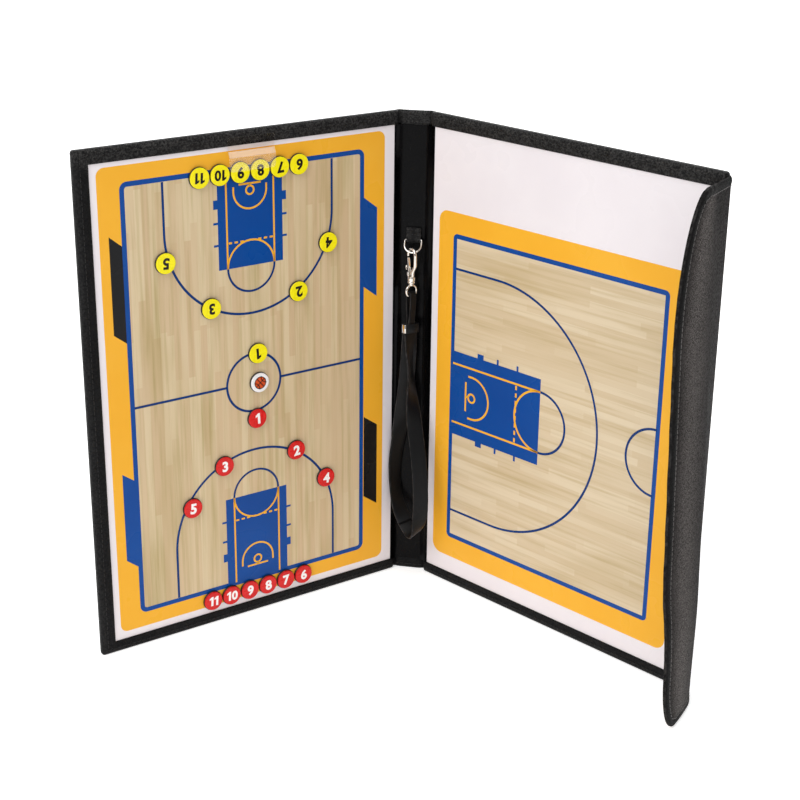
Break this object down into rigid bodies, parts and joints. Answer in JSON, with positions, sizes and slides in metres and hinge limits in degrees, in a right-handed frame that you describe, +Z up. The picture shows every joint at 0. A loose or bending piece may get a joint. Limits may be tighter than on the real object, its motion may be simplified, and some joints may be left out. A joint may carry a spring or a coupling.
{
  "type": "tactics board",
  "caption": "Folding leather sports tactics board with printed basketball courts on two covers, sliding magnetic discs, a wrap-over closing flap and a wrist strap on a snap hook.",
  "frame": {"origin": "foot of the spine, midway between its two folds, in the plane of its outer face", "axes": "+Z up along the spine, +X across the spine to the cover with the flap, -Y out of the open board towards the reader"},
  "size_m": [0.3591, 0.1843, 0.315],
  "materials": {
    "leather": "grained satin",
    "greyboard": "matte pressed board",
    "steel": "rolled sheet",
    "court": "smooth, printed",
    "lining": "smooth, slightly glossy",
    "magnet": "plain",
    "clear": "clear plastic sheet",
    "nickel": "polished nickel plate",
    "strap": "smooth satin",
    "yellow": "glossy",
    "red": "glossy",
    "white": "glossy"
  },
  "bodies": {
    "spine": {"spine_leather": "leather", "spine_stiffener": "greyboard", "spine_lining": "lining", "strap_loop": "leather"},
    "left_cover": {"left_cover_leather": "leather", "left_core_board": "greyboard", "left_steel_sheet": "steel", "left_court_board": "court", "clear_tab": "clear"},
    "right_cover": {"right_cover_leather": "leather", "right_core_board": "greyboard", "right_steel_sheet": "steel", "right_court_board": "court"},
    "flap_strip": {"flap_strip_leather": "leather", "flap_strip_lining": "lining"},
    "flap_tongue": {"flap_tongue_leather": "leather", "flap_tongue_stiffener": "greyboard", "flap_tongue_lining": "lining", "flap_magnets": "magnet"},
    "d_ring": {"d_ring": "nickel"},
    "snap_hook": {"hook_body": "nickel", "gate_pin": "nickel", "gate_spring": "nickel"},
    "hook_gate": {"hook_gate": "nickel"},
    "swivel_eye": {"swivel_eye": "nickel"},
    "wrist_strap": {"wrist_strap": "strap", "strap_neck": "strap", "strap_crimp": "nickel"},
    "yellow_disc_1": {"yellow_disc_1": "yellow"},
    "yellow_disc_2": {"yellow_disc_2": "yellow"},
    "yellow_disc_3": {"yellow_disc_3": "yellow"},
    "yellow_disc_4": {"yellow_disc_4": "yellow"},
    "yellow_disc_5": {"yellow_disc_5": "yellow"},
    "yellow_disc_6": {"yellow_disc_6": "yellow"},
    "yellow_disc_7": {"yellow_disc_7": "yellow"},
    "yellow_disc_8": {"yellow_disc_8": "yellow"},
    "yellow_disc_9": {"yellow_disc_9": "yellow"},
    "yellow_disc_10": {"yellow_disc_10": "yellow"},
    "yellow_disc_11": {"yellow_disc_11": "yellow"},
    "red_disc_1": {"red_disc_1": "red"},
    "red_disc_2": {"red_disc_2": "red"},
    "red_disc_3": {"red_disc_3": "red"},
    "red_disc_4": {"red_disc_4": "red"},
    "red_disc_5": {"red_disc_5": "red"},
    "red_disc_6": {"red_disc_6": "red"},
    "red_disc_7": {"red_disc_7": "red"},
    "red_disc_8": {"red_disc_8": "red"},
    "red_disc_9": {"red_disc_9": "red"},
    "red_disc_10": {"red_disc_10": "red"},
    "red_disc_11": {"red_disc_11": "red"},
    "ball_disc": {"ball_disc": "white"}
  },
  "joints": [
    {"name": "left_cover_fold", "type": "hinge", "parent": "spine", "child": "left_cover", "pos_m": [-0.011, 0, 0], "axis": [0, 0, 1], "range_deg": [-45.5, 44.5], "deforming": ["spine_lining", "wrist_strap", "strap_neck"]},
    {"name": "right_cover_fold", "type": "hinge", "parent": "spine", "child": "right_cover", "pos_m": [0.011, 0, 0], "axis": [0, 0, -1], "range_deg": [-33.76, 56.24]},
    {"name": "flap_fold", "type": "hinge", "parent": "right_cover", "child": "flap_strip", "pos_m": [0.19457, -0.1227, 0], "axis": [0, 0, 1], "range_deg": [-29, 61]},
    {"name": "tongue_fold", "type": "hinge", "parent": "flap_strip", "child": "flap_tongue", "pos_m": [0.19251, -0.14742, 0], "axis": [0, 0, 1], "range_deg": [-68, 11.3]},
    {"name": "ring_swing", "type": "hinge", "parent": "spine", "child": "d_ring", "pos_m": [0.0005, -0.00445, 0.2338], "axis": [-1, 0, 0], "range_deg": [0, 50]},
    {"name": "hook_swing", "type": "hinge", "parent": "d_ring", "child": "snap_hook", "pos_m": [0.0005, -0.0097, 0.2267], "axis": [-1, 0, 0], "range_deg": [0, 35]},
    {"name": "gate_press", "type": "hinge", "parent": "snap_hook", "child": "hook_gate", "pos_m": [-0.00103, -0.00812, 0.2122], "axis": [0.7193, 0.6947, 0], "range_deg": [0, 24], "stiffness_Nm_per_rad": 0.02, "springref_deg": -11.46, "deforming": ["gate_spring"]},
    {"name": "eye_swivel", "type": "hinge", "parent": "snap_hook", "child": "swivel_eye", "pos_m": [0.0005, -0.0097, 0.2067], "axis": [0, 0, 1], "continuous": true},
    {"name": "strap_swing", "type": "hinge", "parent": "swivel_eye", "child": "wrist_strap", "pos_m": [0.0005, -0.0097, 0.1977], "axis": [-1, 0, 0], "range_deg": [0, 40]},
    {"name": "yellow_disc_1_slide", "type": "slide", "parent": "left_cover", "child": "yellow_disc_1", "axis": [0, 0, 1], "range_m": [0, 0.03]},
    {"name": "yellow_disc_2_slide", "type": "slide", "parent": "left_cover", "child": "yellow_disc_2", "axis": [0, 0, -1], "range_m": [0, 0.04]},
    {"name": "yellow_disc_3_slide", "type": "slide", "parent": "left_cover", "child": "yellow_disc_3", "axis": [0, 0, -1], "range_m": [0, 0.035]},
    {"name": "yellow_disc_4_slide", "type": "slide", "parent": "left_cover", "child": "yellow_disc_4", "axis": [0, 0, -1], "range_m": [0, 0.06]},
    {"name": "yellow_disc_5_slide", "type": "slide", "parent": "left_cover", "child": "yellow_disc_5", "axis": [0, 0, -1], "range_m": [0, 0.06]},
    {"name": "yellow_disc_6_slide", "type": "slide", "parent": "left_cover", "child": "yellow_disc_6", "axis": [0, 0, -1], "range_m": [0, 0.045]},
    {"name": "yellow_disc_7_slide", "type": "slide", "parent": "left_cover", "child": "yellow_disc_7", "axis": [0, 0, -1], "range_m": [0, 0.045]},
    {"name": "yellow_disc_8_slide", "type": "slide", "parent": "left_cover", "child": "yellow_disc_8", "axis": [0, 0, -1], "range_m": [0, 0.045]},
    {"name": "yellow_disc_9_slide", "type": "slide", "parent": "left_cover", "child": "yellow_disc_9", "axis": [0, 0, -1], "range_m": [0, 0.045]},
    {"name": "yellow_disc_10_slide", "type": "slide", "parent": "left_cover", "child": "yellow_disc_10", "axis": [0, 0, -1], "range_m": [0, 0.045]},
    {"name": "yellow_disc_11_slide", "type": "slide", "parent": "left_cover", "child": "yellow_disc_11", "axis": [0, 0, -1], "range_m": [0, 0.045]},
    {"name": "red_disc_1_slide", "type": "slide", "parent": "left_cover", "child": "red_disc_1", "axis": [0, 0, -1], "range_m": [0, 0.03]},
    {"name": "red_disc_2_slide", "type": "slide", "parent": "left_cover", "child": "red_disc_2", "axis": [0, 0, 1], "range_m": [0, 0.035]},
    {"name": "red_disc_3_slide", "type": "slide", "parent": "left_cover", "child": "red_disc_3", "axis": [0, 0, 1], "range_m": [0, 0.035]},
    {"name": "red_disc_4_slide", "type": "slide", "parent": "left_cover", "child": "red_disc_4", "axis": [0, 0, 1], "range_m": [0, 0.06]},
    {"name": "red_disc_5_slide", "type": "slide", "parent": "left_cover", "child": "red_disc_5", "axis": [0, 0, 1], "range_m": [0, 0.06]},
    {"name": "red_disc_6_slide", "type": "slide", "parent": "left_cover", "child": "red_disc_6", "axis": [0, 0, 1], "range_m": [0, 0.045]},
    {"name": "red_disc_7_slide", "type": "slide", "parent": "left_cover", "child": "red_disc_7", "axis": [0, 0, 1], "range_m": [0, 0.045]},
    {"name": "red_disc_8_slide", "type": "slide", "parent": "left_cover", "child": "red_disc_8", "axis": [0, 0, 1], "range_m": [0, 0.045]},
    {"name": "red_disc_9_slide", "type": "slide", "parent": "left_cover", "child": "red_disc_9", "axis": [0, 0, 1], "range_m": [0, 0.045]},
    {"name": "red_disc_10_slide", "type": "slide", "parent": "left_cover", "child": "red_disc_10", "axis": [0, 0, 1], "range_m": [0, 0.045]},
    {"name": "red_disc_11_slide", "type": "slide", "parent": "left_cover", "child": "red_disc_11", "axis": [0, 0, 1], "range_m": [0, 0.045]},
    {"name": "ball_disc_slide", "type": "slide", "parent": "left_cover", "child": "ball_disc", "axis": [-0.7009, -0.7133, 0], "range_m": [-0.035, 0.035]}
  ]
}
